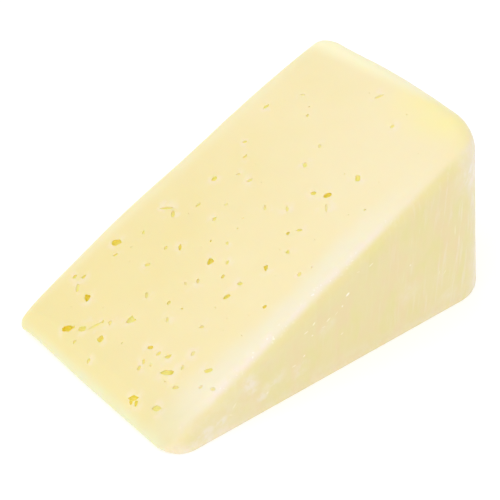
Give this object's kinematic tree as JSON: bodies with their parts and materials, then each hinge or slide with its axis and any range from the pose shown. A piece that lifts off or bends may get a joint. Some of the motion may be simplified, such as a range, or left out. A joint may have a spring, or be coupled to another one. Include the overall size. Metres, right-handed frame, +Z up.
{
  "type": "cheese wedge",
  "caption": "Thick wedge of pale yellow semi-hard cheese with small irregular openings, lying flat on a cut face and rising from a blunt thin tip to a rounded rind end.",
  "frame": {"origin": "middle of the bounding box's foot, on the cut face that the wedge rests on", "axes": "+X from the thin tip to the rind end, +Y across the wedge to its domed side, +Z up from the resting cut face"},
  "size_m": [0.128, 0.073, 0.0581],
  "materials": {
    "cheese": "pale yellow cheese paste, smooth and slightly waxy, faintly translucent"
  },
  "bodies": {
    "root": {"cheese_wedge": "cheese"}
  },
  "joints": []
}
